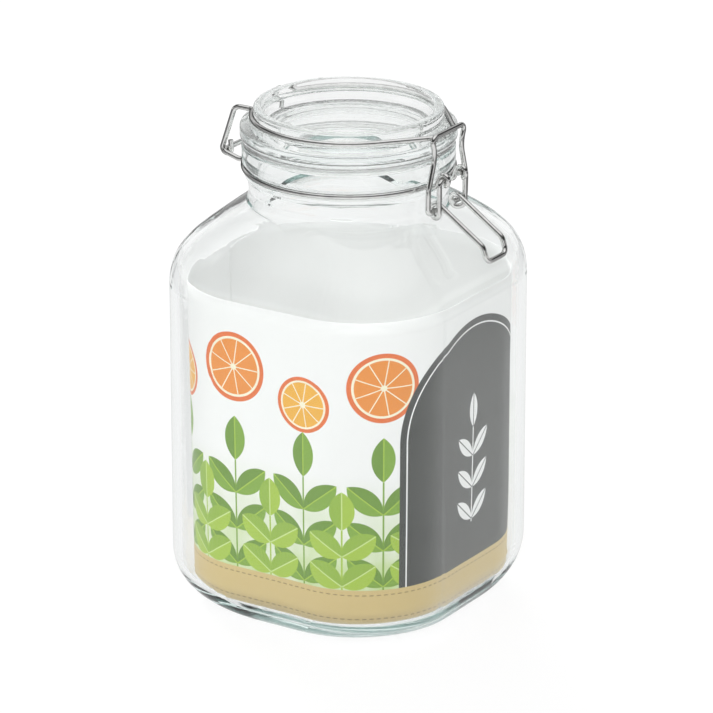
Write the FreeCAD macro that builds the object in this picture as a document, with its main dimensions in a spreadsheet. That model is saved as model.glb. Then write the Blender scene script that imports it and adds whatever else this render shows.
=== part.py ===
import FreeCAD, Part
import math
import os

import Sketcher
from FreeCAD import Vector

# Square glass storage jar with a hinged glass lid, held shut by a wire lever and bail.
# Millimetres, +Z up, origin at the centre of the base. The latch is at -Y, the hinge at +Y.

DIMENSIONS = {
    # jar body: a rounded square section over a rounder foot
    "body_half": 72.5,
    "body_flat": 29.5,
    "foot_half": 56.5,
    "foot_flat": 3.0,
    "heel_height": 26.3,
    "shoulder_start": 157.5,
    "shoulder_radius": 31.0,
    "shoulder_turn": 46.3,
    "shoulder_end_half": 45.6,
    "shoulder_end_flat": 1.5,
    "shoulder_squareness": 3.5,
    "inner_shoulder_half": 41.3,
    "wall": 4.2,
    "floor_height": 8.0,
    "floor_half": 60.0,
    "floor_flat": 12.0,
    "inner_heel_top": 24.0,
    "pushup_radius": 43.0,
    "pushup_ramp": 5.0,
    "pushup_edge": 1.3,
    "pushup_height": 2.2,
    # neck
    "bore_radius": 42.3,
    "neck_radius": 46.6,
    "neck_sweep": 14.0,
    "bead_foot_radius": 47.2,
    "bead_foot": 206.6,
    "bead_radius": 48.6,
    "bead_low": 208.6,
    "bead_high": 210.4,
    "bead_fillet": 0.8,
    "groove_radius": 47.75,
    "groove_low": 211.2,
    "groove_high": 213.8,
    "rim_radius": 49.8,
    "rim_low": 215.0,
    "rim_top": 223.85,
    "rim_fillet": 1.6,
    # gasket
    "gasket_low": 223.9,
    "gasket_high": 226.2,
    "gasket_inner": 41.7,
    "gasket_outer": 49.4,
    "gasket_fillet": 0.7,
    # lid
    "lid_top": 241.5,
    "dish_floor": 231.0,
    "dish_radius": 37.6,
    "dish_thickness": 5.0,
    "dish_fillet": 3.0,
    "ring_inner": 40.3,
    "ring_outer": 44.3,
    "ring_fillet": 1.6,
    "lid_groove_radius": 43.85,
    "lid_groove_high": 237.7,
    "lid_groove_low": 235.1,
    "ledge_radius": 46.8,
    "ledge_fillet": 0.8,
    "flange_radius": 50.6,
    "flange_high": 232.2,
    "flange_low": 227.4,
    "flange_fillet": 1.8,
    "plug_radius": 41.2,
    "plug_tip_radius": 39.9,
    "plug_low": 221.2,
    "plug_thickness": 2.6,
    "plug_draft": 1.4,
    "plug_fillet": 0.8,
    # wires
    "wire_radius": 1.2,
    "wire_bend": 3.0,
    "eye_radius": 2.48,
    "eye_half_width": 7.5,
    "eye_rise": 70.0,
    "eye_rise_bend": 2.0,
    "eye_wrap": 235.0,
    "neck_ring_radius": 49.0,
    "neck_ring_height": 212.5,
    "hinge_reach": 56.4,
    "hinge_height": 215.0,
    "hinge_half_width": 21.5,
    "hinge_run": 1.6,
    "hinge_rise_bend": 6.0,
    "lid_ring_radius": 45.1,
    "lid_ring_height": 236.4,
    "strand_half_width": 17.6,
    "strand_slope": 71.0,
    "strand_bend": 4.0,
    "curl_wrap": 205.0,
    "curl_tail": 4.0,
    "catch_reach": 51.9,
    "catch_half_width": 9.0,
    "pivot_reach": 56.6,
    "pivot_height": 216.5,
    "arm_half_width": 11.2,
    "leg_half_width": 8.4,
    "coil_radius": 3.0,
    "coil_height": 202.0,
    "leg_slope": 34.0,
    "leg_length": 28.0,
    "leg_bend": 5.0,
    "tab_slope": 72.0,
    "tab_length": 7.6,
    "tab_bend": 3.5,
    "pin_bend": 2.2,
    "pin_inner_end": 5.0,
    "bail_reach": 54.4,
    "bail_height": 238.0,
    "bail_top_half": 14.2,
    "bail_top_bend": 2.6,
    "bail_waist_half": 11.0,
    "bail_waist_height": 229.0,
    "bail_waist_bend": 14.0,
    "bail_foot_half": 16.2,
    "bail_foot_height": 213.0,
    "bail_foot_bend": 10.0,
    # printed paper insert
    "paper_gap": 0.6,
    "paper_thickness": 0.4,
    "paper_low": 12.0,
    "paper_high": 161.0,
    "paper_foot_half": 65.15,
    "paper_foot_flat": 22.5,
    "paper_top_flat": 21.0,
}

doc = FreeCAD.newDocument("clip_jar")
sheet = doc.addObject("Spreadsheet::Sheet", "dims")
for row, (alias, value) in enumerate(DIMENSIONS.items(), start=1):
    sheet.set(f"A{row}", alias)
    sheet.set(f"B{row}", str(value))
    sheet.setAlias(f"B{row}", alias)
doc.recompute()

SAME_PLACE = 0.001
subparts = []


def dim(alias):
    return float(sheet.get(alias))


def value_of(expression):
    return float(sheet.evalExpression(expression))


def new_body(label):
    body = doc.addObject("PartDesign::Body", label)
    body.Label = label
    subparts.append(body)
    return body


def new_sketch(body, name, plane_role, height="0"):
    plane = next(f for f in body.Origin.OriginFeatures if getattr(f, "Role", "") == plane_role)
    sketch = body.newObject("Sketcher::SketchObject", name)
    sketch.AttachmentSupport = [(plane, "")]
    sketch.MapMode = "FlatFace"
    if height != "0":
        sketch.setExpression("AttachmentOffset.Base.z", height)
    return sketch


def drive(sketch, constraint, expression):
    index = sketch.addConstraint(constraint)
    sketch.setExpression(f"Constraints[{index}]", expression)


def add_rounded_square(sketch, half, flat):
    """Four sides and four corner arcs; flat is half the length of a straight side."""
    h, c = value_of(half), value_of(flat)
    radius = h - c
    first = sketch.GeometryCount
    for quarter in range(4):
        spin = FreeCAD.Rotation(Vector(0, 0, 1), 90 * quarter)
        start, end = spin.multVec(Vector(-c, -h, 0)), spin.multVec(Vector(c, -h, 0))
        sketch.addGeometry(Part.LineSegment(start, end))
        circle = Part.Circle(spin.multVec(Vector(c, -c, 0)), Vector(0, 0, 1), radius)
        angle = math.radians(90 * quarter - 90)
        sketch.addGeometry(Part.ArcOfCircle(circle, angle, angle + math.pi / 2))
    for side in range(4):
        line, arc = first + 2 * side, first + 2 * side + 1
        following = first + (2 * side + 2) % 8
        sketch.addConstraint(Sketcher.Constraint("Tangent", line, 2, arc, 1))
        sketch.addConstraint(Sketcher.Constraint("Tangent", arc, 2, following, 1))
        direction = "Horizontal" if side % 2 == 0 else "Vertical"
        sketch.addConstraint(Sketcher.Constraint(direction, line))
    for arc in (3, 5, 7):
        sketch.addConstraint(Sketcher.Constraint("Equal", first + 1, first + arc))
    sketch.addConstraint(Sketcher.Constraint("Symmetric", first + 1, 3, first + 5, 3, -1, 1))
    drive(sketch, Sketcher.Constraint("DistanceX", first + 7, 3, first + 1, 3, 2 * c), f"2 * ({flat})")
    drive(sketch, Sketcher.Constraint("DistanceY", first + 1, 3, first + 3, 3, 2 * c), f"2 * ({flat})")
    drive(sketch, Sketcher.Constraint("Radius", first + 1, radius), f"({half}) - ({flat})")


def section(body, name, height, half, flat):
    sketch = new_sketch(body, name, "XY_Plane", height)
    add_rounded_square(sketch, half, flat)
    return sketch


def loft(body, kind, name, sections):
    feature = body.newObject(f"PartDesign::{kind}", name)
    feature.Profile = sections[0]
    feature.Sections = sections[1:]
    feature.Ruled = False
    return feature


def hollow_arc(start, end, radius):
    """The arc that turns clockwise from start to end; a sketch stores it from its end to its start."""
    chord = end - start
    middle = (start + end) / 2
    off_chord = math.sqrt(radius ** 2 - chord.Length ** 2 / 4)
    centre = middle + Vector(chord.y, -chord.x, 0).normalize() * off_chord
    angles = [math.atan2(p.y - centre.y, p.x - centre.x) % (2 * math.pi) for p in (end, start)]
    return Part.ArcOfCircle(Part.Circle(centre, Vector(0, 0, 1), radius), *angles)


def half_profile(body, name, corners):
    """A closed outline beside the Z axis, its corners driven as (radius, height).

    A third value on a corner is the radius of the arc that leads to it; the other sides are straight.
    """
    sketch = new_sketch(body, name, "XZ_Plane")
    points = [Vector(value_of(corner[0]), value_of(corner[1]), 0) for corner in corners]
    count = len(points)
    arc_radii = [next(iter(corners[(i + 1) % count][2:]), None) for i in range(count)]
    first_ends = [1 if radius is None else 2 for radius in arc_radii]
    for i, radius in enumerate(arc_radii):
        start, end = points[i], points[(i + 1) % count]
        if radius is None:
            sketch.addGeometry(Part.LineSegment(start, end))
        else:
            sketch.addGeometry(hollow_arc(start, end, value_of(radius)))
    for i in range(count):
        following = (i + 1) % count
        meeting = (i, 3 - first_ends[i], following, first_ends[following])
        sketch.addConstraint(Sketcher.Constraint("Coincident", *meeting))
    for i, (r, z, *_) in enumerate(corners):
        end = first_ends[i]
        if points[i].x == 0:
            sketch.addConstraint(Sketcher.Constraint("PointOnObject", i, end, -2))
        else:
            drive(sketch, Sketcher.Constraint("DistanceX", -1, 1, i, end, points[i].x), r)
        if points[i].y == 0:
            sketch.addConstraint(Sketcher.Constraint("PointOnObject", i, end, -1))
        else:
            drive(sketch, Sketcher.Constraint("DistanceY", -1, 1, i, end, points[i].y), z)
        if arc_radii[i] is not None:
            drive(sketch, Sketcher.Constraint("Radius", i, value_of(arc_radii[i])), arc_radii[i])
    return sketch


def revolve(body, kind, name, sketch):
    feature = body.newObject(f"PartDesign::{kind}", name)
    feature.Profile = sketch
    feature.ReferenceAxis = (sketch, ["V_Axis"])
    feature.Angle = 360
    return feature


def round_rings(body, name, size, rings):
    """Rounds the circular edges that lie at the given (radius, height) corners, all named in the sheet."""
    doc.recompute()
    base = body.Tip
    names = []
    for index, edge in enumerate(base.Shape.Edges, start=1):
        if not isinstance(edge.Curve, Part.Circle):
            continue
        for radius, height in rings:
            off_radius = abs(edge.Curve.Radius - dim(radius))
            off_height = abs(edge.Curve.Center.z - dim(height))
            if max(off_radius, off_height) < SAME_PLACE:
                names.append(f"Edge{index}")
    fillet = body.newObject("PartDesign::Fillet", name)
    fillet.Base = (base, names)
    fillet.setExpression("Radius", f"dims.{size}")


# Glass jar

HEEL_ANGLES = (90, 68, 46, 23, 0)
SHOULDER_ANGLES = (0, 0.33, 0.67, 1)
SLOPE_STEPS = (0.4, 0.75, 1)


def heel_sections(body, prefix, low, high, foot_half, foot_flat, half, flat):
    """Quarter-ellipse blend from the round foot up into the square wall."""
    made = []
    for angle in HEEL_ANGLES:
        away = f"(1 - cos({angle} deg))"
        made.append(section(
            body, f"{prefix}_{angle}",
            f"{low} + ({high} - {low}) * (1 - sin({angle} deg))",
            f"{half} - ({half} - {foot_half}) * {away}",
            f"{flat} - ({flat} - {foot_flat}) * {away}"))
    return made


SHOULDER_TURN = "(dims.shoulder_turn * 1 deg)"


def shoulder_arc(inset, share):
    """Half width and height a share of the way round the arc that turns in from the wall."""
    arc = f"(dims.shoulder_radius - {inset})"
    return (f"(dims.body_half - dims.shoulder_radius + {arc} * cos({share} * {SHOULDER_TURN}))",
            f"(dims.shoulder_start + {arc} * sin({share} * {SHOULDER_TURN}))")


def shoulder_sections(body, prefix, inset, end_half):
    """An arc turning in from the wall, then a straight slope up to the round neck."""
    bend_half, bend_height = shoulder_arc(inset, 1)
    profile = [shoulder_arc(inset, share) for share in SHOULDER_ANGLES]
    for share in SLOPE_STEPS:
        run = f"({share} * ({bend_half} - {end_half}))"
        profile.append((f"{bend_half} - {run}", f"{bend_height} + {run} / tan({SHOULDER_TURN})"))
    made = []
    for index, (half, height) in enumerate(profile):
        drawn_in = f"((dims.body_half - {inset} - ({half})) / (dims.body_half - {inset} - {end_half}))"
        rounding = f"{drawn_in} ^ dims.shoulder_squareness"
        flat = f"dims.body_flat - (dims.body_flat - dims.shoulder_end_flat) * {rounding}"
        made.append(section(body, f"{prefix}_{index}", height, half, flat))
    return made


def neck_sweep(inset, radius, sweep):
    """The corners where an arc leaves the shoulder's slope and where it runs into the upright neck."""
    bend_half, bend_height = shoulder_arc(inset, 1)
    foot = f"({radius} + {sweep} * (1 - cos({SHOULDER_TURN})))"
    foot_height = f"({bend_height} + ({bend_half} - {foot}) / tan({SHOULDER_TURN}))"
    start_height = f"({foot_height} + {sweep} * sin({SHOULDER_TURN}))"
    return [("0", foot_height), (foot, foot_height), (radius, start_height, sweep)]


def straight_wall(body, kind, name, low, half):
    sketch = section(body, f"{name}_section", low, half, "dims.body_flat")
    feature = body.newObject(f"PartDesign::{kind}", name)
    feature.Profile = sketch
    feature.setExpression("Length", f"dims.shoulder_start - {low}")
    feature.Reversed = kind == "Pocket"
    return feature


jar = new_body("glass_jar")
loft(jar, "AdditiveLoft", "heel", heel_sections(
    jar, "heel", "0", "dims.heel_height", "dims.foot_half", "dims.foot_flat",
    "dims.body_half", "dims.body_flat"))
straight_wall(jar, "Pad", "wall_outside", "dims.heel_height", "dims.body_half")
loft(jar, "AdditiveLoft", "shoulder", shoulder_sections(jar, "shoulder", "0", "dims.shoulder_end_half"))
outer_sweep = neck_sweep("0", "dims.neck_radius", "dims.neck_sweep")
revolve(jar, "Revolution", "neck", half_profile(jar, "neck_profile", outer_sweep + [
    ("dims.bead_foot_radius", "dims.bead_foot"),
    ("dims.bead_radius", "dims.bead_low"),
    ("dims.bead_radius", "dims.bead_high"),
    ("dims.groove_radius", "dims.groove_low"),
    ("dims.groove_radius", "dims.groove_high"),
    ("dims.rim_radius", "dims.rim_low"),
    ("dims.rim_radius", "dims.rim_top"),
    ("0", "dims.rim_top")]))
round_rings(jar, "bead_rounding", "bead_fillet", [
    ("bead_foot_radius", "bead_foot"), ("bead_radius", "bead_low"), ("bead_radius", "bead_high"),
    ("groove_radius", "groove_low"), ("groove_radius", "groove_high"), ("rim_radius", "rim_low")])
round_rings(jar, "rim_rounding", "rim_fillet", [("rim_radius", "rim_top")])
loft(jar, "SubtractiveLoft", "heel_inside", heel_sections(
    jar, "heel_inside", "dims.floor_height", "dims.inner_heel_top", "dims.floor_half", "dims.floor_flat",
    "(dims.body_half - dims.wall)", "dims.body_flat"))
straight_wall(jar, "Pocket", "wall_inside", "dims.inner_heel_top", "dims.body_half - dims.wall")
loft(jar, "SubtractiveLoft", "shoulder_inside", shoulder_sections(
    jar, "shoulder_inside", "dims.wall", "dims.inner_shoulder_half"))
inner_sweep = neck_sweep(
    "dims.wall", "dims.bore_radius", "(dims.neck_sweep + dims.neck_radius - dims.bore_radius)")
revolve(jar, "Groove", "bore", half_profile(jar, "bore_profile", inner_sweep + [
    ("dims.bore_radius", "dims.rim_top"),
    ("0", "dims.rim_top")]))
round_rings(jar, "mouth_rounding", "rim_fillet", [("bore_radius", "rim_top")])
revolve(jar, "Groove", "pushup", half_profile(jar, "pushup_profile", [
    ("0", "0"),
    ("dims.pushup_radius", "0"),
    ("dims.pushup_radius - dims.pushup_ramp", "dims.pushup_edge"),
    ("0", "dims.pushup_height")]))

# Glass lid: a raised ring round a dish, a groove for its wire, a flange and a plug

lid = new_body("glass_lid")
revolve(lid, "Revolution", "lid_turned", half_profile(lid, "lid_profile", [
    ("0", "dims.dish_floor"),
    ("dims.dish_radius", "dims.dish_floor"),
    ("dims.ring_inner", "dims.lid_top"),
    ("dims.ring_outer", "dims.lid_top"),
    ("dims.ring_outer", "dims.lid_groove_high"),
    ("dims.lid_groove_radius", "dims.lid_groove_high"),
    ("dims.lid_groove_radius", "dims.lid_groove_low"),
    ("dims.ledge_radius", "dims.lid_groove_low"),
    ("dims.flange_radius", "dims.flange_high"),
    ("dims.flange_radius", "dims.flange_low"),
    ("dims.gasket_outer", "dims.gasket_high"),
    ("dims.plug_radius", "dims.gasket_high"),
    ("dims.plug_tip_radius", "dims.plug_low"),
    ("dims.plug_tip_radius - dims.plug_thickness", "dims.plug_low"),
    ("dims.plug_tip_radius - dims.plug_thickness - dims.plug_draft",
     "dims.dish_floor - dims.dish_thickness"),
    ("0", "dims.dish_floor - dims.dish_thickness")]))
round_rings(lid, "dish_rounding", "dish_fillet", [("dish_radius", "dish_floor")])
round_rings(lid, "ring_rounding", "ring_fillet", [("ring_inner", "lid_top"), ("ring_outer", "lid_top")])
round_rings(lid, "ledge_rounding", "ledge_fillet", [
    ("ledge_radius", "lid_groove_low"), ("flange_radius", "flange_low")])
round_rings(lid, "flange_rounding", "flange_fillet", [("flange_radius", "flange_high")])
round_rings(lid, "plug_rounding", "plug_fillet", [("plug_tip_radius", "plug_low")])

# Silicone gasket round the plug, under the flange

gasket = new_body("silicone_gasket")
revolve(gasket, "Revolution", "gasket_turned", half_profile(gasket, "gasket_profile", [
    ("dims.gasket_inner", "dims.gasket_low"),
    ("dims.gasket_outer", "dims.gasket_low"),
    ("dims.gasket_outer", "dims.gasket_high"),
    ("dims.gasket_inner", "dims.gasket_high")]))
round_rings(gasket, "gasket_rounding", "gasket_fillet", [
    ("gasket_outer", "gasket_low"), ("gasket_inner", "gasket_low")])

# Printed paper insert: a sleeve against the inside of the wall, drawn in where it stands in the heel

paper = new_body("paper_insert")
paper_top_half = "dims.body_half - dims.wall - dims.paper_gap"


def sleeve_sections(name, inset):
    foot_half, top_half = f"dims.paper_foot_half - {inset}", f"{paper_top_half} - {inset}"
    return [section(paper, f"{name}_foot", "dims.paper_low", foot_half, "dims.paper_foot_flat"),
            section(paper, f"{name}_top", "dims.paper_high", top_half, "dims.paper_top_flat")]


loft(paper, "AdditiveLoft", "sleeve", sleeve_sections("sleeve", "0"))
loft(paper, "SubtractiveLoft", "sleeve_inside", sleeve_sections("sleeve_inside", "dims.paper_thickness"))

# Bent wires. A path is a list of runs: two points are a straight, three an arc.

X, Y, Z = Vector(1, 0, 0), Vector(0, 1, 0), Vector(0, 0, 1)
FRONT = -Y
bend = dim("wire_bend")
eye_radius = dim("eye_radius")


def round_corners(points, radii):
    """Straight runs through the points, with a tangent arc of each radius at the inner points."""
    runs = []
    start = points[0]
    for corner, following, radius in zip(points[1:-1], points[2:], radii):
        back, ahead = (start - corner).normalize(), (following - corner).normalize()
        half_angle = back.getAngle(ahead) / 2
        cut = radius / math.tan(half_angle)
        centre = corner + (back + ahead).normalize() * (radius / math.sin(half_angle))
        middle = centre + (corner - centre).normalize() * radius
        runs.append((start, corner + back * cut))
        runs.append((corner + back * cut, middle, corner + ahead * cut))
        start = corner + ahead * cut
    runs.append((start, points[-1]))
    return runs


def turn(centre, u, v, radius, first, last):
    """An arc about the centre, from first to last degrees between the directions u and v."""
    angles = [math.radians(a) for a in (first, (first + last) / 2, last)]
    return tuple(centre + u * (radius * math.cos(a)) + v * (radius * math.sin(a)) for a in angles)


def leave_ring(radius, across, end, height):
    """The arc that leads a ring outwards into a straight at x = across; end is -1 front, +1 rear."""
    reach = math.sqrt((radius + bend) ** 2 - (across + bend) ** 2)
    centre = Vector(across + bend, end * reach, height)
    level = Z * height
    on_ring = level + (centre - level) * (radius / (radius + bend))
    on_straight = Vector(across, end * reach, height)
    middle = centre + ((on_ring + on_straight) * 0.5 - centre).normalize() * bend
    return on_ring, middle, on_straight


def ring_arc(radius, height, start, end):
    """The +X side of a ring, between two points on it."""
    first, last = (math.degrees(math.atan2(p.y, p.x)) for p in (start, end))
    return turn(Z * height, X, Y, radius, first, last)


def mirrored(runs):
    return [tuple(Vector(-p.x, p.y, p.z) for p in reversed(run)) for run in reversed(runs)]


def bent_wire(label, half_runs):
    """Sweeps the wire along half a path, from its middle at x = 0, and its mirror image."""
    edges = []
    for run in mirrored(half_runs) + half_runs:
        curve = Part.LineSegment(*run) if len(run) == 2 else Part.Arc(*run)
        edges.append(curve.toShape())
    path = doc.addObject("Part::Feature", f"{label}_path")
    path.Shape = Part.Wire(edges)
    ring = doc.addObject("Part::Circle", f"{label}_section")
    ring.setExpression("Radius", "dims.wire_radius")
    start = edges[0].FirstParameter
    square_on = FreeCAD.Rotation(Z, edges[0].tangentAt(start))
    ring.Placement = FreeCAD.Placement(edges[0].valueAt(start), square_on)
    wire = doc.addObject("Part::Sweep", label)
    wire.Sections = [ring]
    wire.Spine = (path, [f"Edge{i + 1}" for i in range(len(path.Shape.Edges))])
    wire.Solid = True
    wire.Label = label
    subparts.append(wire)
    print(label, "wire length", round(path.Shape.Length, 1))


# Neck wire: the raised hinge bar at the rear, round the groove, and up over the lever's pins at the front

ring_height = dim("neck_ring_height")
hinge = Vector(0, dim("hinge_reach"), dim("hinge_height"))
hinge_x = dim("hinge_half_width")
eye_x = dim("eye_half_width")
pivot = Vector(eye_x, -dim("pivot_reach"), dim("pivot_height"))
rear_bend = leave_ring(dim("neck_ring_radius"), hinge_x, 1, ring_height)
front_bend = leave_ring(dim("neck_ring_radius"), eye_x, -1, ring_height)
rise = math.radians(dim("eye_rise"))
eye_head = pivot - FRONT * (eye_radius * math.sin(rise)) + Z * (eye_radius * math.cos(rise))
climb_start = eye_head - (FRONT + Z * math.tan(rise)) * ((eye_head.z - ring_height) / math.tan(rise))
hinge_climb = rear_bend[2] + Y * dim("hinge_run")
neck_runs = round_corners(
    [hinge, hinge + X * hinge_x, hinge_climb, rear_bend[2]], [bend, dim("hinge_rise_bend")])
neck_runs += [tuple(reversed(rear_bend)), ring_arc(
    dim("neck_ring_radius"), ring_height, rear_bend[0], front_bend[0]), front_bend]
neck_runs += round_corners([front_bend[2], climb_start, eye_head], [dim("eye_rise_bend")])
wrap_first = dim("eye_rise") + 90
wrap_middle, wrap_last = wrap_first - dim("eye_wrap") / 2, wrap_first - dim("eye_wrap")
neck_runs += [turn(pivot, FRONT, Z, eye_radius, wrap_first, wrap_middle),
              turn(pivot, FRONT, Z, eye_radius, wrap_middle, wrap_last)]
bent_wire("neck_wire", neck_runs)

# Lid wire: the catch at the front, round the lid's groove, and down to curls on the hinge bar

lid_height = dim("lid_ring_height")
lid_radius = dim("lid_ring_radius")
strand_x = dim("strand_half_width")
catch_corner = Vector(dim("catch_half_width"), -dim("catch_reach"), lid_height)
catch_distance = math.hypot(catch_corner.x, catch_corner.y)
catch_angle = math.atan2(catch_corner.y, catch_corner.x) + math.acos(lid_radius / catch_distance)
catch_root = Vector(lid_radius * math.cos(catch_angle), lid_radius * math.sin(catch_angle), lid_height)
strand_bend = leave_ring(lid_radius, strand_x, 1, lid_height)
slope = math.radians(dim("strand_slope"))
curl_centre = Vector(strand_x, hinge.y, hinge.z)
curl_start = curl_centre + Y * (eye_radius * math.sin(slope)) + Z * (eye_radius * math.cos(slope))
strand_corner = curl_start + (Z - Y / math.tan(slope)) * (lid_height - curl_start.z)
curl_first = 90 - dim("strand_slope")
curl_middle, curl_last = curl_first - dim("curl_wrap") / 2, curl_first - dim("curl_wrap")
curl = [turn(curl_centre, Y, Z, eye_radius, curl_first, curl_middle),
        turn(curl_centre, Y, Z, eye_radius, curl_middle, curl_last)]
tail_angle = math.radians(curl_last - 90)
tail = curl[1][2] + (Y * math.cos(tail_angle) + Z * math.sin(tail_angle)) * dim("curl_tail")
lid_runs = round_corners([Vector(0, catch_corner.y, lid_height), catch_corner, catch_root], [bend])
lid_runs += [ring_arc(lid_radius, lid_height, catch_root, strand_bend[0]), strand_bend]
lid_runs += round_corners([strand_bend[2], strand_corner, curl_start], [dim("strand_bend")])
lid_runs += curl + [(curl[1][2], tail)]
bent_wire("lid_wire", lid_runs)

# Lever: a finger tab, two legs, a coil each that holds the bail, and pins in the neck wire's eyes

arm_x, leg_x = dim("arm_half_width"), dim("leg_half_width")
coil_radius = dim("coil_radius")
coil_reach = dim("pivot_reach") - coil_radius
coil_front = Vector(arm_x, -dim("pivot_reach"), dim("coil_height"))
coil_centre = Vector(leg_x, -coil_reach, dim("coil_height"))
leg_fall, tab_fall = math.radians(dim("leg_slope")), math.radians(dim("tab_slope"))
over_top = turn(coil_centre, FRONT, Z, coil_radius, 90 - dim("leg_slope"), 180)
across = (coil_front - over_top[2]) * 0.5
under = (over_top[2], over_top[2] + across - Z * across.Length, coil_front)
leg_way = FRONT * math.cos(leg_fall) - Z * math.sin(leg_fall)
tab_way = FRONT * math.cos(tab_fall) - Z * math.sin(tab_fall)
leg_end = over_top[0] + leg_way * dim("leg_length")
tab_corner = leg_end + tab_way * dim("tab_length")
tab_middle = Vector(0, tab_corner.y, tab_corner.z)
pin_axis = Vector(arm_x, -dim("pivot_reach"), dim("pivot_height"))
pin_end = Vector(dim("pin_inner_end"), pin_axis.y, pin_axis.z)
lever_runs = round_corners(
    [tab_middle, tab_corner, leg_end, over_top[0]], [dim("tab_bend"), dim("leg_bend")])
lever_runs += [over_top, under]
lever_runs += round_corners([coil_front, pin_axis, pin_end], [dim("pin_bend")])
bent_wire("lever", lever_runs)

# Bail: the bar that goes over the catch, two waisted legs, and ends hooked through the lever's coils

bail_foot = Vector(dim("bail_foot_half"), -coil_reach, dim("coil_height"))
bail_top = Vector(dim("bail_top_half"), -dim("bail_reach"), dim("bail_height"))


def on_bail(half_width, height):
    share = (height - bail_foot.z) / (bail_top.z - bail_foot.z)
    return Vector(half_width, bail_foot.y + (bail_top.y - bail_foot.y) * share, height)


bent_wire("bail", round_corners([
    Vector(0, bail_top.y, bail_top.z),
    bail_top,
    on_bail(dim("bail_waist_half"), dim("bail_waist_height")),
    on_bail(dim("bail_foot_half"), dim("bail_foot_height")),
    bail_foot,
    Vector(dim("pin_inner_end"), bail_foot.y, bail_foot.z)],
    [dim("bail_top_bend"), dim("bail_waist_bend"), dim("bail_foot_bend"), dim("pin_bend")]))

# Check and export

doc.recompute()
for item in doc.Objects:
    if "Invalid" in item.State or "Error" in item.State:
        raise RuntimeError(f"{item.Label} failed: {item.State}")
for piece in subparts:
    if piece.Shape.isNull() or not piece.Shape.isValid() or len(piece.Shape.Solids) != 1:
        raise RuntimeError(f"{piece.Label} is not one valid solid")
os.makedirs("parts", exist_ok=True)
for piece in subparts:
    piece.Shape.exportStep(f"parts/{piece.Label}.step")
    print(piece.Label, "volume", round(piece.Shape.Volume, 1))
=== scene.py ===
import math

import bmesh
import bpy
from mathutils import Matrix, Vector


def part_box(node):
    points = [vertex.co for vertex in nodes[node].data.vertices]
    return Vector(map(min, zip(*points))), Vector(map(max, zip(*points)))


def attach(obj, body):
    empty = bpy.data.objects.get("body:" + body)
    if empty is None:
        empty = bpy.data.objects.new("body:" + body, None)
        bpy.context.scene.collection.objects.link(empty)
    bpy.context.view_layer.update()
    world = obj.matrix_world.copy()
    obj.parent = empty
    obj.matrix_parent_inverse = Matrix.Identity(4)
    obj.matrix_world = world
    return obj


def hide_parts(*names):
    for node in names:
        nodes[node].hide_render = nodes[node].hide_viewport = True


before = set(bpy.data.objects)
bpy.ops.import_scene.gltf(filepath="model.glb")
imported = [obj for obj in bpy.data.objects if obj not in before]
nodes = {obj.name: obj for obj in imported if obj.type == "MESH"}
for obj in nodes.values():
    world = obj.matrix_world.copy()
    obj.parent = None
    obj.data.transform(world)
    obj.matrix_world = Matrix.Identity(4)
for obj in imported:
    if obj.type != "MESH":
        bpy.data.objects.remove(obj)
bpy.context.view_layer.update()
print("frame loaded:", ", ".join(sorted(nodes)))

millimetres = 1000     # in a metre


# small helpers for node trees and meshes

def plug(tree, socket, value):
    if isinstance(value, bpy.types.NodeSocket):
        tree.links.new(value, socket)
    else:
        socket.default_value = value


def fill(tree, node, values):
    for name, value in values.items():
        plug(tree, node.inputs[name], value)


def calc(tree, operation, *values):
    node = tree.nodes.new("ShaderNodeMath")
    node.operation = operation
    for socket, value in zip(node.inputs, values):
        plug(tree, socket, value)
    return node.outputs[0]


def blendColours(tree, share, first, second):
    node = tree.nodes.new("ShaderNodeMix")
    node.data_type = "RGBA"
    fill(tree, node, {"Factor": share, "A": first, "B": second})
    return node.outputs["Result"]


def blendShaders(tree, share, first, second):
    node = tree.nodes.new("ShaderNodeMixShader")
    for socket, value in zip(node.inputs, (share, first, second)):
        plug(tree, socket, value)
    return node.outputs[0]


def rescale(tree, value, low, high, toLow, toHigh):
    node = tree.nodes.new("ShaderNodeMapRange")
    fill(tree, node, {"Value": value, "From Min": low, "From Max": high,
                      "To Min": toLow, "To Max": toHigh})
    return node.outputs["Result"]


def noise(tree, vector, scale, detail=3.0, roughness=0.5):
    node = tree.nodes.new("ShaderNodeTexNoise")
    fill(tree, node, {"Vector": vector, "Scale": scale, "Detail": detail, "Roughness": roughness})
    return node.outputs["Fac"]


def bumpFrom(tree, height, strength, distance):
    node = tree.nodes.new("ShaderNodeBump")
    fill(tree, node, {"Height": height, "Strength": strength, "Distance": distance})
    return node.outputs["Normal"]


def objectPlace(tree):
    return tree.nodes.new("ShaderNodeTexCoord").outputs["Object"]


def floats(*names):
    return [(name, "NodeSocketFloat") for name in names]


def newGroup(name, inputs, outputs):
    tree = bpy.data.node_groups.new(name, "ShaderNodeTree")
    for label, kind in inputs:
        tree.interface.new_socket(label, in_out="INPUT", socket_type=kind)
    for label, kind in outputs:
        tree.interface.new_socket(label, in_out="OUTPUT", socket_type=kind)
    entry = tree.nodes.new("NodeGroupInput").outputs
    leave = tree.nodes.new("NodeGroupOutput")
    return tree, entry, leave


def useGroup(tree, group, values):
    node = tree.nodes.new("ShaderNodeGroup")
    node.node_tree = group
    fill(tree, node, values)
    return node.outputs


def newMaterial(name):
    material = bpy.data.materials.new(name)
    material.use_nodes = True
    tree = material.node_tree
    shader = tree.nodes["Principled BSDF"]
    return material, tree, shader


def dress(node, material):
    node.data.materials.clear()
    node.data.materials.append(material)


def toObject(shape, name):
    mesh = bpy.data.meshes.new(name)
    shape.to_mesh(mesh)
    shape.free()
    piece = bpy.data.objects.new(name, mesh)
    bpy.context.collection.objects.link(piece)
    return piece


# moulded glass: slow ripples from the mould and finer chill marks

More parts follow.
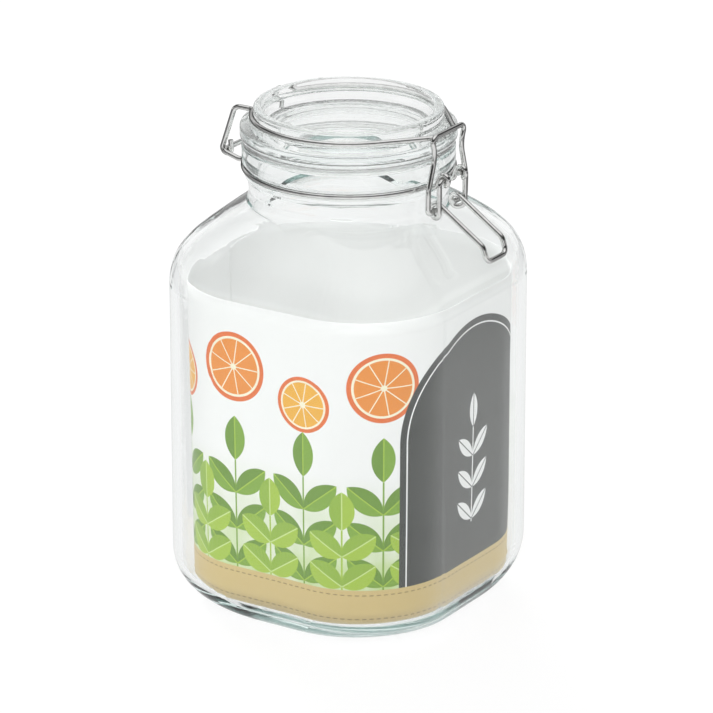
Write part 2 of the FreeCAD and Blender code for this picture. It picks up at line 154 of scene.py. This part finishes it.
mouldMarks = {
    "stretch": (1.0, 1.0, 0.35),     # the marks are long up the wall
    "detail": 2.0,
    "chillShare": 0.18,              # height of the chill marks against the ripples
}


def makeRippleGroup(marks):
    tree, entry, leave = newGroup(
        "mouldRipple",
        [("Place", "NodeSocketVector"), *floats("Ripple Scale", "Chill Scale")],
        floats("Height", "Streak"))
    stretched = tree.nodes.new("ShaderNodeMapping")
    fill(tree, stretched, {"Vector": entry["Place"], "Scale": marks["stretch"]})
    place = stretched.outputs[0]
    slow = noise(tree, place, entry["Ripple Scale"], marks["detail"])
    fine = noise(tree, place, entry["Chill Scale"], marks["detail"])
    faint = calc(tree, "MULTIPLY", fine, marks["chillShare"])
    fill(tree, leave, {"Height": calc(tree, "ADD", slow, faint), "Streak": fine})
    return tree


rippleGroup = makeRippleGroup(mouldMarks)

# each bump is given as a strength and a depth in metres
jarLook = {
    "tint": (0.980, 0.986, 0.984, 1),
    "streakTint": (0.987, 0.991, 0.990, 1),
    "ior": 1.5,
    "rippleScale": 26.0,
    "chillScale": 150.0,
    "bump": (0.05, 0.0012),
    "depthTint": (0.60, 0.80, 0.77, 1),      # the glass's own green, seen along the wall
    "depthDensity": 5.0,
    "lampTint": (0.98, 0.985, 0.985, 1),
}
lidLook = {
    **jarLook,
    "ior": 1.45,
    "rippleScale": 34.0,
    "chillScale": 190.0,
    "bump": (0.014, 0.0012),
    "depthDensity": 2.0,
}


def makeGlass(name, look):
    material, tree, shader = newMaterial(name)
    marks = useGroup(tree, rippleGroup, {
        "Place": objectPlace(tree),
        "Ripple Scale": look["rippleScale"],
        "Chill Scale": look["chillScale"]})
    fill(tree, shader, {
        "Base Color": blendColours(tree, marks["Streak"], look["tint"], look["streakTint"]),
        "Roughness": 0.0,
        "IOR": look["ior"],
        "Transmission Weight": 1.0,
        "Normal": bumpFrom(tree, marks["Height"], *look["bump"])})
    # lamps and bounced light pass straight through, so what stands inside is lit
    rays = tree.nodes.new("ShaderNodeLightPath").outputs
    passes = calc(tree, "MAXIMUM", rays["Is Shadow Ray"], rays["Is Diffuse Ray"])
    clear = tree.nodes.new("ShaderNodeBsdfTransparent")
    fill(tree, clear, {"Color": look["lampTint"]})
    depth = tree.nodes.new("ShaderNodeVolumeAbsorption")
    fill(tree, depth, {"Color": look["depthTint"], "Density": look["depthDensity"]})
    fill(tree, tree.nodes["Material Output"], {
        "Surface": blendShaders(tree, passes, shader.outputs[0], clear.outputs[0]),
        "Volume": depth.outputs[0]})
    return material


dress(nodes["glass_jar"], makeGlass("jarGlass", jarLook))
dress(nodes["glass_lid"], makeGlass("lidGlass", lidLook))
print("glass dressed")


# milky silicone gasket

gasketLook = {
    "milk": (0.985, 0.985, 0.98, 1),
    "dust": (0.94, 0.945, 0.94, 1),
    "grainScale": 420.0,
    "grainRange": (0.3, 0.7),       # the levels of the grain between which the finish changes
    "roughness": (0.14, 0.26),
    "bump": (0.15, 0.0003),
    "transmission": 0.92,
    "ior": 1.41,
}


def makeSilicone(look):
    material, tree, shader = newMaterial("milkySilicone")
    grain = noise(tree, objectPlace(tree), look["grainScale"])
    fill(tree, shader, {
        "Base Color": blendColours(tree, grain, look["milk"], look["dust"]),
        "Roughness": rescale(tree, grain, *look["grainRange"], *look["roughness"]),
        "Normal": bumpFrom(tree, grain, *look["bump"]),
        "Transmission Weight": look["transmission"],
        "IOR": look["ior"]})
    return material


dress(nodes["silicone_gasket"], makeSilicone(gasketLook))


# bright drawn wire: die lines, handling scuffs and a little dulling

wireLook = {
    "bright": (0.90, 0.90, 0.89, 1),
    "dull": (0.72, 0.72, 0.71, 1),
    "edgeTint": (0.04, 0.04, 0.04, 1),     # the metal darkens where it turns away
    "scuff": {"scale": 230.0, "detail": 5.0, "roughness": 0.6},
    "dieLines": {"scale": 2400.0, "detail": 1.0},
    "dulledBy": (0.42, 0.72),              # the levels of the scuffs between which the colour dulls
    "roughenedBy": (0.35, 0.75),           # and those between which the gloss does
    "roughness": (0.07, 0.20),
    "bump": (0.06, 0.0001),
}


def makeWire(look):
    material, tree, shader = newMaterial("brightWire")
    place = objectPlace(tree)
    scuff = noise(tree, place, **look["scuff"])
    lines = noise(tree, place, **look["dieLines"])
    patch = rescale(tree, scuff, *look["dulledBy"], 0.0, 1.0)
    fill(tree, shader, {
        "Base Color": blendColours(tree, patch, look["bright"], look["dull"]),
        "Roughness": rescale(tree, scuff, *look["roughenedBy"], *look["roughness"]),
        "Metallic": 1.0,
        "Specular Tint": look["edgeTint"],
        "Normal": bumpFrom(tree, lines, *look["bump"])})
    return material


brightWire = makeWire(wireLook)
for name in ("neck_wire", "lid_wire", "lever", "bail"):
    dress(nodes[name], brightWire)
print("wires and gasket dressed")


# printed paper insert: one flat strip rolled into the jar, its ends lapped at the rear

sleeveLow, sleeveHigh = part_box("paper_insert")
sleeve = {
    "half": (0.06515, sleeveHigh.x),     # half width at the foot and at the top, as in the solid
    "flat": (0.0225, 0.0210),            # half of a straight side, likewise
    "height": sleeveHigh.z - sleeveLow.z,
    "thickness": 0.0004,
    "lap": 0.012,
    "lapDrop": 0.0007,                   # the inner end tucks in behind the outer one
    "columns": 400,
    "rows": 24,
    "sag": 0.0004,                       # how far the paper stands off the wall in its waves
    "waves": ((95, 2.1), (31, 3.0)),     # radians per metre of strip, and over its height
}


def between(pair, share):
    return pair[0] + (pair[1] - pair[0]) * share


def quarterAt(share):
    half, flat = between(sleeve["half"], share), between(sleeve["flat"], share)
    return 2 * flat + (half - flat) * math.pi / 2


quarterLength = quarterAt(1.0)
sheetLength = 4 * quarterLength + sleeve["lap"]


def onSleeve(u, v, inset):
    half, flat = between(sleeve["half"], v), between(sleeve["flat"], v)
    cornerRadius = half - flat
    arc = cornerRadius * math.pi / 2
    quarter, rest = divmod(u * (4 * quarterAt(v) + sleeve["lap"]), quarterAt(v))
    if rest < flat:
        point, outward = Vector((-rest, half, 0)), Vector((0, 1, 0))
    elif rest < flat + arc:
        angle = (rest - flat) / cornerRadius
        outward = Vector((-math.sin(angle), math.cos(angle), 0))
        point = Vector((-flat, flat, 0)) + outward * cornerRadius
    else:
        point, outward = Vector((-half, flat - (rest - flat - arc), 0)), Vector((-1, 0, 0))
    return Matrix.Rotation(quarter * math.pi / 2, 3, "Z") @ (point - outward * inset)


def standOff(along, v):
    wave = 1.0
    for alongRate, heightRate in sleeve["waves"]:
        wave *= math.sin(along * alongRate + v * heightRate)
    tuck = sleeve["lapDrop"] * max(0.0, 1 - along / (2 * sleeve["lap"]))
    return sleeve["sag"] * (0.5 + 0.5 * wave) + tuck


def makeSleeve():
    sheet = bmesh.new()
    sheet.loops.layers.uv.new("sheet")
    bmesh.ops.create_grid(sheet, x_segments=sleeve["columns"], y_segments=sleeve["rows"],
                          size=0.5, calc_uvs=True)
    for vert in sheet.verts:
        u, v = vert.co.x + 0.5, vert.co.y + 0.5
        place = onSleeve(u, v, standOff(u * sheetLength, v))
        vert.co = (place.x, place.y, sleeveLow.z + v * sleeve["height"])
    piece = toObject(sheet, "paperSleeve")
    piece.data.shade_smooth()
    wall = piece.modifiers.new("paperThickness", "SOLIDIFY")
    wall.thickness = sleeve["thickness"]
    wall.offset = -1
    wall.material_offset = 1
    wall.material_offset_rim = 1
    return piece


# motifs of the print, all in millimetres on the flat strip

inkEdge = 0.12     # half of the soft edge round a printed shape


def inside(tree, value, limit=0.0):
    past = calc(tree, "SUBTRACT", value, limit)
    return rescale(tree, past, -inkEdge, inkEdge, 1.0, 0.0)


def reachOf(tree, across, up):
    square = calc(tree, "MULTIPLY", up, up)
    return calc(tree, "SQRT", calc(tree, "MULTIPLY_ADD", across, across, square))


def fromMiddle(tree, value, step):
    rest = calc(tree, "FLOORED_MODULO", value, step)
    return calc(tree, "SUBTRACT", rest, step / 2)


leafForm = {
    "ribHalf": 0.28,
    "sideVeinStep": 2.6,
    "sideVeinHalf": 0.14,
    "sideVeinShade": 0.35,
    "halfShade": 0.55,     # one half of the blade lies in shade
}


def makeLeafGroup(form):
    tree, entry, leave = newGroup(
        "leafShape",
        floats("Across", "Along", "Length", "Half Width"),
        floats("Leaf", "Vein", "Shaded"))
    across = calc(tree, "ABSOLUTE", entry["Across"])
    halfLength = calc(tree, "MULTIPLY", entry["Length"], 0.5)
    # the blade is bounded by two arcs that meet at its ends
    widthSquare = calc(tree, "MULTIPLY", entry["Half Width"], entry["Half Width"])
    square = calc(tree, "MULTIPLY_ADD", halfLength, halfLength, widthSquare)
    radius = calc(tree, "DIVIDE", square, calc(tree, "MULTIPLY", entry["Half Width"], 2.0))
    fromCentre = calc(tree, "ADD", across, calc(tree, "SUBTRACT", radius, entry["Half Width"]))
    reach = reachOf(tree, fromCentre, calc(tree, "SUBTRACT", entry["Along"], halfLength))
    blade = inside(tree, reach, radius)
    rib = inside(tree, across, form["ribHalf"])
    slant = calc(tree, "SUBTRACT", entry["Along"], across)
    offVein = calc(tree, "ABSOLUTE", fromMiddle(tree, slant, form["sideVeinStep"]))
    sideVein = inside(tree, offVein, form["sideVeinHalf"])
    half = calc(tree, "MULTIPLY", inside(tree, entry["Across"]), form["halfShade"])
    shade = calc(tree, "MULTIPLY_ADD", sideVein, form["sideVeinShade"], half)
    fill(tree, leave, {
        "Leaf": blade,
        "Vein": calc(tree, "MULTIPLY", rib, blade),
        "Shaded": calc(tree, "MULTIPLY", shade, blade)})
    return tree


leafGroup = makeLeafGroup(leafForm)

sprigForm = {
    "rootLift": 1.6,     # a pair of leaves springs this far above the foot of its stretch of stem
    "stemHalf": 0.42,
}


def makeSprigGroup(form):
    tree, entry, leave = newGroup(
        "leafSprig",
        floats("Across", "Up", "Height", "Pitch", "Leaf Length", "Leaf Half Width", "Lean"),
        floats("Leaves", "Veins", "Shaded"))
    side = calc(tree, "ABSOLUTE", entry["Across"])
    stretch = calc(tree, "FLOORED_MODULO", entry["Up"], entry["Pitch"])
    step = calc(tree, "SUBTRACT", stretch, form["rootLift"])
    cosine, sine = calc(tree, "COSINE", entry["Lean"]), calc(tree, "SINE", entry["Lean"])
    across = calc(tree, "SUBTRACT", calc(tree, "MULTIPLY", side, cosine),
                  calc(tree, "MULTIPLY", step, sine))
    along = calc(tree, "MULTIPLY_ADD", side, sine, calc(tree, "MULTIPLY", step, cosine))
    size = {"Length": entry["Leaf Length"], "Half Width": entry["Leaf Half Width"]}
    pair = useGroup(tree, leafGroup, {"Across": across, "Along": along, **size})
    above = calc(tree, "SUBTRACT", entry["Up"], entry["Height"])
    tip = useGroup(tree, leafGroup, {"Across": entry["Across"], "Along": above, **size})
    belowFoot = calc(tree, "MULTIPLY", entry["Up"], -1.0)
    within = calc(tree, "MULTIPLY", inside(tree, above), inside(tree, belowFoot))
    stem = calc(tree, "MULTIPLY", inside(tree, side, form["stemHalf"]), within)
    grown = {}
    for part in ("Leaf", "Vein", "Shaded"):
        onPair = calc(tree, "MULTIPLY", pair[part], within)
        grown[part] = calc(tree, "MAXIMUM", onPair, tip[part])
    fill(tree, leave, {
        "Leaves": calc(tree, "MAXIMUM", grown["Leaf"], stem),
        "Veins": grown["Vein"],
        "Shaded": grown["Shaded"]})
    return tree


sliceForm = {
    "fleshShare": 0.80,     # shares of the radius
    "pithShare": 0.87,
    "gapHalf": 1.1,         # pith between two segments
    "coreRadius": 1.5,
}


def makeSliceGroup(form):
    tree, entry, leave = newGroup(
        "fruitSlice",
        floats("Across", "Up", "Radius", "Segments"),
        floats("Slice", "Flesh", "Pith"))
    reach = reachOf(tree, entry["Across"], entry["Up"])
    flesh = inside(tree, reach, calc(tree, "MULTIPLY", entry["Radius"], form["fleshShare"]))
    pale = inside(tree, reach, calc(tree, "MULTIPLY", entry["Radius"], form["pithShare"]))
    halfCount = calc(tree, "MULTIPLY", entry["Segments"], 0.5)
    turn = calc(tree, "MULTIPLY", calc(tree, "ARCTAN2", entry["Up"], entry["Across"]), halfCount)
    offSpoke = calc(tree, "MULTIPLY", calc(tree, "ABSOLUTE", calc(tree, "SINE", turn)), reach)
    gaps = inside(tree, offSpoke, form["gapHalf"])
    core = inside(tree, reach, form["coreRadius"])
    spokes = calc(tree, "MULTIPLY", calc(tree, "MAXIMUM", gaps, core), flesh)
    fill(tree, leave, {
        "Slice": inside(tree, reach, entry["Radius"]),
        "Flesh": flesh,
        "Pith": calc(tree, "MAXIMUM", spokes, calc(tree, "SUBTRACT", pale, flesh))})
    return tree


sprigGroup = makeSprigGroup(sprigForm)
sliceGroup = makeSliceGroup(sliceForm)

printLook = {
    "paper": (0.90, 0.90, 0.89, 1),
    "wash": (0.50, 0.66, 0.24, 1),
    "slate": (0.036, 0.040, 0.036, 1),
    "slateLight": (0.058, 0.062, 0.057, 1),
    "deepGreen": (0.105, 0.23, 0.022, 1),
    "midGreen": (0.21, 0.39, 0.032, 1),
    "leafGreen": (0.38, 0.56, 0.048, 1),
    "paleVein": (0.58, 0.73, 0.28, 1),
    "rind": (0.78, 0.16, 0.025, 1),
    "orange": (0.82, 0.21, 0.032, 1),
    "yellow": (0.86, 0.43, 0.035, 1),
    "pith": (0.93, 0.86, 0.66, 1),
    "kraft": (0.68, 0.53, 0.24, 1),
    "kraftDark": (0.60, 0.45, 0.19, 1),
    "stitch": (0.36, 0.25, 0.10, 1),
    # cloudiness and fine grain of the inks
    "mottle": {"scale": 0.06, "detail": 2.0},
    "dots": {"scale": 2.2, "detail": 2.0},
    "dotRange": (0.3, 0.7),
    "roughness": (0.34, 0.46),
    "specular": 0.3,
    "bump": (0.03, 0.0001),
    # heights are above the strip's lower edge
    "washTop": 74.0,
    "washMottle": (0.25, 0.65, 0.35, 1.0),     # levels of the mottle, and how much wash they leave
    "motifsPerFace": 3,
    "sliceMiddle": 112.0,
    "sliceDrop": 11.0,           # every second slice is lower and smaller by these
    "sliceShrink": 3.4,
    "sliceRadius": 17.0,
    "sliceSegments": 9.0,
    "fleshDots": 0.6,
    "sprigFoot": 17.0,
    "tallSprig": {"Height": 54.0, "Pitch": 18.0, "Leaf Length": 22.0,
                  "Leaf Half Width": 5.6, "Lean": math.radians(50)},
    "lowSprig": {"Height": 30.0, "Pitch": 15.0, "Leaf Length": 19.0,
                 "Leaf Half Width": 6.0, "Lean": math.radians(56)},
    "archHalfWidth": 50.0,
    "archShoulder": 88.0,        # where the arch starts to turn in
    "archLineInset": 3.6,
    "archLineHalf": 0.35,
    "sprayFoot": 36.0,
    "spray": {"Height": 48.0, "Pitch": 16.0, "Leaf Length": 17.0,
              "Leaf Half Width": 3.4, "Lean": math.radians(48)},
    "bandTop": 17.0,
    "stitchInset": 2.6,
    "stitchStep": 3.4,
    "stitchLength": 2.0,
    "stitchHalf": 0.28,
}
faceWidth = quarterLength * millimetres
motifStep = faceWidth / printLook["motifsPerFace"]


def readStrip(tree, look):
    coords = tree.nodes.new("ShaderNodeUVMap")
    coords.uv_map = "sheet"
    split = tree.nodes.new("ShaderNodeSeparateXYZ")
    tree.links.new(coords.outputs["UV"], split.inputs[0])
    run = calc(tree, "MULTIPLY", split.outputs["X"], sheetLength * millimetres)
    up = calc(tree, "MULTIPLY", split.outputs["Y"], sleeve["height"] * millimetres)
    flat = tree.nodes.new("ShaderNodeCombineXYZ")
    fill(tree, flat, {"X": run, "Y": up})
    mottle = noise(tree, flat.outputs[0], **look["mottle"])
    dots = noise(tree, flat.outputs[0], **look["dots"])
    return run, up, mottle, dots


def fromArch(tree, run):
    return fromMiddle(tree, calc(tree, "ADD", run, faceWidth), 2 * faceWidth)


# a watered green behind the sprigs fades out upwards
def printWash(tree, look, up, mottle):
    fade = rescale(tree, up, look["bandTop"], look["washTop"], 1.0, 0.0)
    wash = calc(tree, "MULTIPLY", fade, rescale(tree, mottle, *look["washMottle"]))
    return blendColours(tree, wash, look["paper"], look["wash"])


# a row of fruit slices, every second one lower, none behind the arches
def printSlices(tree, look, colour, run, up, dots):
    cell = calc(tree, "FLOOR", calc(tree, "DIVIDE", run, motifStep))
    cellMiddle = calc(tree, "MULTIPLY", calc(tree, "ADD", cell, 0.5), motifStep)
    offArch = calc(tree, "ABSOLUTE", fromArch(tree, cellMiddle))
    inOpen = calc(tree, "GREATER_THAN", offArch, motifStep)
    odd = calc(tree, "FLOORED_MODULO", cell, 2.0)
    lowered = calc(tree, "MULTIPLY_ADD", odd, look["sliceDrop"], up)
    fruit = useGroup(tree, sliceGroup, {
        "Across": fromMiddle(tree, run, motifStep),
        "Up": calc(tree, "SUBTRACT", lowered, look["sliceMiddle"] + look["sliceDrop"] / 2),
        "Radius": calc(tree, "MULTIPLY_ADD", odd, -look["sliceShrink"], look["sliceRadius"]),
        "Segments": look["sliceSegments"]})
    flesh = blendColours(tree, odd, look["orange"], look["yellow"])
    speckle = calc(tree, "MULTIPLY", dots, look["fleshDots"])
    flesh = blendColours(tree, speckle, flesh, look["yellow"])
    for part, ink in (("Slice", look["rind"]), ("Flesh", flesh), ("Pith", look["pith"])):
        colour = blendColours(tree, calc(tree, "MULTIPLY", fruit[part], inOpen), colour, ink)
    return colour


# two rows of sprigs, the tall one behind
def printSprigs(tree, look, colour, run, up):
    foot = calc(tree, "SUBTRACT", up, look["sprigFoot"])
    shifted = calc(tree, "ADD", run, motifStep / 2)
    for kind, place, blade, shaded, vein in (
            ("tallSprig", run, "midGreen", "deepGreen", "leafGreen"),
            ("lowSprig", shifted, "leafGreen", "midGreen", "paleVein")):
        across = fromMiddle(tree, place, motifStep)
        sprig = useGroup(tree, sprigGroup, {"Across": across, "Up": foot, **look[kind]})
        for part, ink in (("Leaves", blade), ("Shaded", shaded), ("Veins", vein)):
            colour = blendColours(tree, sprig[part], colour, look[ink])
    return colour


# slate arches with a leaf spray on the latch face and the hinge face
def printArches(tree, look, colour, run, up, mottle):
    offArch = fromArch(tree, run)
    rise = calc(tree, "MAXIMUM", calc(tree, "SUBTRACT", up, look["archShoulder"]), 0.0)
    reach = reachOf(tree, calc(tree, "ABSOLUTE", offArch), rise)
    pastEdge = calc(tree, "SUBTRACT", reach, look["archHalfWidth"])
    slate = blendColours(tree, mottle, look["slate"], look["slateLight"])
    colour = blendColours(tree, inside(tree, pastEdge), colour, slate)
    offLine = calc(tree, "ABSOLUTE", calc(tree, "ADD", pastEdge, look["archLineInset"]))
    colour = blendColours(tree, inside(tree, offLine, look["archLineHalf"]), colour, look["paper"])
    foot = calc(tree, "SUBTRACT", up, look["sprayFoot"])
    spray = useGroup(tree, sprigGroup, {"Across": offArch, "Up": foot, **look["spray"]})
    colour = blendColours(tree, spray["Leaves"], colour, look["paper"])
    return blendColours(tree, spray["Veins"], colour, look["slateLight"])


# kraft band with stitched edges round the foot
def printBand(tree, look, colour, run, up, dots):
    kraft = blendColours(tree, dots, look["kraft"], look["kraftDark"])
    colour = blendColours(tree, inside(tree, up, look["bandTop"]), colour, kraft)
    middle = look["bandTop"] / 2
    offMiddle = calc(tree, "ABSOLUTE", calc(tree, "SUBTRACT", up, middle))
    inset = middle - look["stitchInset"]
    offLine = calc(tree, "ABSOLUTE", calc(tree, "SUBTRACT", offMiddle, inset))
    dash = inside(tree, calc(tree, "FLOORED_MODULO", run, look["stitchStep"]), look["stitchLength"])
    stitch = calc(tree, "MULTIPLY", inside(tree, offLine, look["stitchHalf"]), dash)
    return blendColours(tree, stitch, colour, look["stitch"])


def makePrint(look):
    material, tree, shader = newMaterial("printedPaper")
    run, up, mottle, dots = readStrip(tree, look)
    colour = printWash(tree, look, up, mottle)
    colour = printSlices(tree, look, colour, run, up, dots)
    colour = printSprigs(tree, look, colour, run, up)
    colour = printArches(tree, look, colour, run, up, mottle)
    colour = printBand(tree, look, colour, run, up, dots)
    fill(tree, shader, {
        "Base Color": colour,
        "Roughness": rescale(tree, dots, *look["dotRange"], *look["roughness"]),
        "Normal": bumpFrom(tree, dots, *look["bump"]),
        "Specular IOR Level": look["specular"]})
    return material


backLook = {
    "white": (0.955, 0.955, 0.95, 1),
    "fibreShade": (0.92, 0.92, 0.91, 1),
    "fibre": {"scale": 900.0, "detail": 4.0},
    "roughness": 0.8,
    "bump": (0.2, 0.0002),
}


def makePaperBack(look):
    material, tree, shader = newMaterial("plainPaperBack")
    fibre = noise(tree, objectPlace(tree), **look["fibre"])
    fill(tree, shader, {
        "Base Color": blendColours(tree, fibre, look["white"], look["fibreShade"]),
        "Roughness": look["roughness"],
        "Normal": bumpFrom(tree, fibre, *look["bump"])})
    return material


paperSleeve = makeSleeve()
paperSleeve.data.materials.append(makePrint(printLook))
paperSleeve.data.materials.append(makePaperBack(backLook))
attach(paperSleeve, "jar")
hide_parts("paper_insert")
print("paper sleeve rolled,", round(sheetLength * millimetres), "mm of strip")


# studio: pale floor, soft lamps and a white room with flags that only shiny surfaces mirror

studio = {
    "floorSize": 8.0,
    "floorDrop": 0.0003,
    "floorColour": (0.86, 0.86, 0.86, 1),
    "floorRoughness": 0.9,
    "floorGlow": 0.88,
    "floorShown": 0.90,              # the floor's level through glass
    # painted glow: to mirrored rays the floor glows bright out to one distance aside and dark from
    # the next, in place of a lit sweep and flags
    "paintedGlowEdge": (0.36, 0.54),
    "paintedGlowMirrored": (0.72, 0.06),
    # how bare the room is at the sine of each elevation: horizon, flags, ceiling
    "room": ((0.0, 0.7), (0.06, 0.7), (0.16, 0.0), (0.60, 0.0), (0.80, 0.8), (1.0, 0.9)),
    "backdropAzimuth": 123,
    "backdropEdge": (0.62, 0.86),    # cosines of the turn from its middle: gone, and all white
    "flagLevel": 0.92,               # the flags through glass and in dull light
    "flagMirrored": 0.04,
    "roomLight": 0.42,               # how much of the room's brightness lights dull surfaces
    "lampAim": (0, 0, 0.12),
    "lamps": [
        # name, direction (azimuth, elevation), distance, size, power
        ("keyLamp", (-105, 48), 1.6, 0.9, 9.2),
        ("frontLamp", (-60, 60), 1.7, 0.9, 11.0),
        ("fillLamp", (20, 35), 1.8, 0.8, 7.0),
        ("rearLamp", (140, 45), 1.8, 0.8, 25.0),
    ],
}


def fromAround(azimuth, elevation):
    a, e = math.radians(azimuth), math.radians(elevation)
    return Vector((math.sin(a) * math.cos(e), -math.cos(a) * math.cos(e), math.sin(e)))


def measureAlong(tree, vector, azimuth):
    node = tree.nodes.new("ShaderNodeVectorMath")
    node.operation = "DOT_PRODUCT"
    plug(tree, node.inputs[0], vector)
    plug(tree, node.inputs[1], fromAround(azimuth, 0))
    return node.outputs["Value"]


# refracted rays count as glossy too, so a mirrored ray is one that is glossy alone
def mirroredRay(tree, rays):
    return calc(tree, "GREATER_THAN", rays["Is Glossy Ray"], rays["Is Transmission Ray"])


def makeFloorPaint():
    material, tree, shader = newMaterial("paleFloor")
    fill(tree, shader, {
        "Base Color": studio["floorColour"],
        "Roughness": studio["floorRoughness"],
        "Specular IOR Level": 0.0})
    rays = tree.nodes.new("ShaderNodeLightPath").outputs
    shiny = calc(tree, "MAXIMUM", rays["Is Glossy Ray"], rays["Is Transmission Ray"])
    seen = calc(tree, "MAXIMUM", rays["Is Camera Ray"], shiny)
    sideways = measureAlong(tree, objectPlace(tree), studio["backdropAzimuth"] + 90)
    aside = calc(tree, "ABSOLUTE", sideways)
    # painted reflection: the floor's glow for mirrored rays, bright in a band and dark aside
    paintedFloorGlow = rescale(tree, aside, *studio["paintedGlowEdge"], *studio["paintedGlowMirrored"])
    level = rescale(tree, mirroredRay(tree, rays), 0.0, 1.0, studio["floorShown"], paintedFloorGlow)
    glow = tree.nodes.new("ShaderNodeEmission")
    fill(tree, glow, {"Strength": calc(tree, "MAXIMUM", rays["Is Camera Ray"], level)})
    share = calc(tree, "MULTIPLY", seen, studio["floorGlow"])
    surface = blendShaders(tree, share, shader.outputs[0], glow.outputs[0])
    fill(tree, tree.nodes["Material Output"], {"Surface": surface})
    return material


def makeFloor():
    shape = bmesh.new()
    bmesh.ops.create_grid(shape, x_segments=1, y_segments=1, size=studio["floorSize"] / 2)
    bmesh.ops.translate(shape, verts=shape.verts, vec=(0, 0, -studio["floorDrop"]))
    floor = toObject(shape, "paleFloor")
    floor.data.materials.append(makeFloorPaint())


def makeRoom():
    world = bpy.data.worlds.new("studioRoom")
    bpy.context.scene.world = world
    world.use_nodes = True
    tree = world.node_tree
    direction = tree.nodes.new("ShaderNodeTexCoord").outputs["Generated"]
    split = tree.nodes.new("ShaderNodeSeparateXYZ")
    tree.links.new(direction, split.inputs[0])
    ramp = tree.nodes.new("ShaderNodeValToRGB")
    stops = ramp.color_ramp.elements
    for count, (place, shade) in enumerate(studio["room"]):
        stop = stops[count] if count < 2 else stops.new(place)     # a new ramp has two stops
        stop.position = place
        stop.color = (shade, shade, shade, 1)
    tree.links.new(split.outputs["Z"], ramp.inputs[0])
    rays = tree.nodes.new("ShaderNodeLightPath").outputs
    flags = rescale(tree, mirroredRay(tree, rays), 0.0, 1.0,
                    studio["flagLevel"], studio["flagMirrored"])
    facing = measureAlong(tree, direction, studio["backdropAzimuth"])
    backdrop = rescale(tree, facing, *studio["backdropEdge"], 0.0, 1.0)
    bare = calc(tree, "MAXIMUM", ramp.outputs[0], backdrop)
    bare = calc(tree, "MAXIMUM", bare, rays["Is Camera Ray"])
    share = calc(tree, "MULTIPLY_ADD", rays["Is Diffuse Ray"], studio["roomLight"] - 1.0, 1.0)
    level = calc(tree, "MULTIPLY", rescale(tree, bare, 0.0, 1.0, flags, 1.0), share)
    fill(tree, tree.nodes["Background"], {"Color": level, "Strength": 1.0})


def makeLamps():
    aim = Vector(studio["lampAim"])
    for name, direction, distance, size, power in studio["lamps"]:
        data = bpy.data.lights.new(name, "AREA")
        data.shape = "SQUARE"
        data.size = size
        data.energy = power
        lamp = bpy.data.objects.new(name, data)
        bpy.context.collection.objects.link(lamp)
        away = fromAround(*direction)
        lamp.location = aim + away * distance
        lamp.rotation_euler = away.to_track_quat("Z", "Y").to_euler()
        lamp.visible_glossy = False
        lamp.visible_transmission = False


makeFloor()
makeRoom()
makeLamps()
print("studio lit")


# camera, measured from the picture: a long lens a little above the jar

view = {
    "azimuth": -57.0,
    "elevation": 20.5,
    "distance": 2.295,
    "focalPixels": 4870.0,
    "imagePixels": 713,
    "aim": (0.0, 0.0, 0.118),
    "centre": (348.9, 354.0),     # the pixel that the aim falls on
    "sensor": 36.0,
    "clip": (0.1, 50.0),
    "bounces": 48,                # thick glass needs long light paths
}


def makeCamera():
    data = bpy.data.cameras.new("pictureCamera")
    data.sensor_width = view["sensor"]
    data.lens = view["focalPixels"] * view["sensor"] / view["imagePixels"]
    data.clip_start, data.clip_end = view["clip"]
    camera = bpy.data.objects.new("pictureCamera", data)
    bpy.context.collection.objects.link(camera)
    away = fromAround(view["azimuth"], view["elevation"])
    right = Vector((0, 0, 1)).cross(away).normalized()
    up = away.cross(right)
    perPixel = view["distance"] / view["focalPixels"]
    middle = view["imagePixels"] / 2
    eye = Vector(view["aim"]) + away * view["distance"]
    target = Vector(view["aim"])
    target += right * ((middle - view["centre"][0]) * perPixel)
    target -= up * ((middle - view["centre"][1]) * perPixel)
    camera.location = eye
    camera.rotation_mode = "QUATERNION"
    camera.rotation_quaternion = (target - eye).to_track_quat("-Z", "Y")
    bpy.context.scene.camera = camera


makeCamera()
scene = bpy.context.scene
scene.view_settings.view_transform = "Standard"
scene.cycles.max_bounces = view["bounces"]
scene.cycles.transmission_bounces = view["bounces"]
scene.cycles.glossy_bounces = view["bounces"]
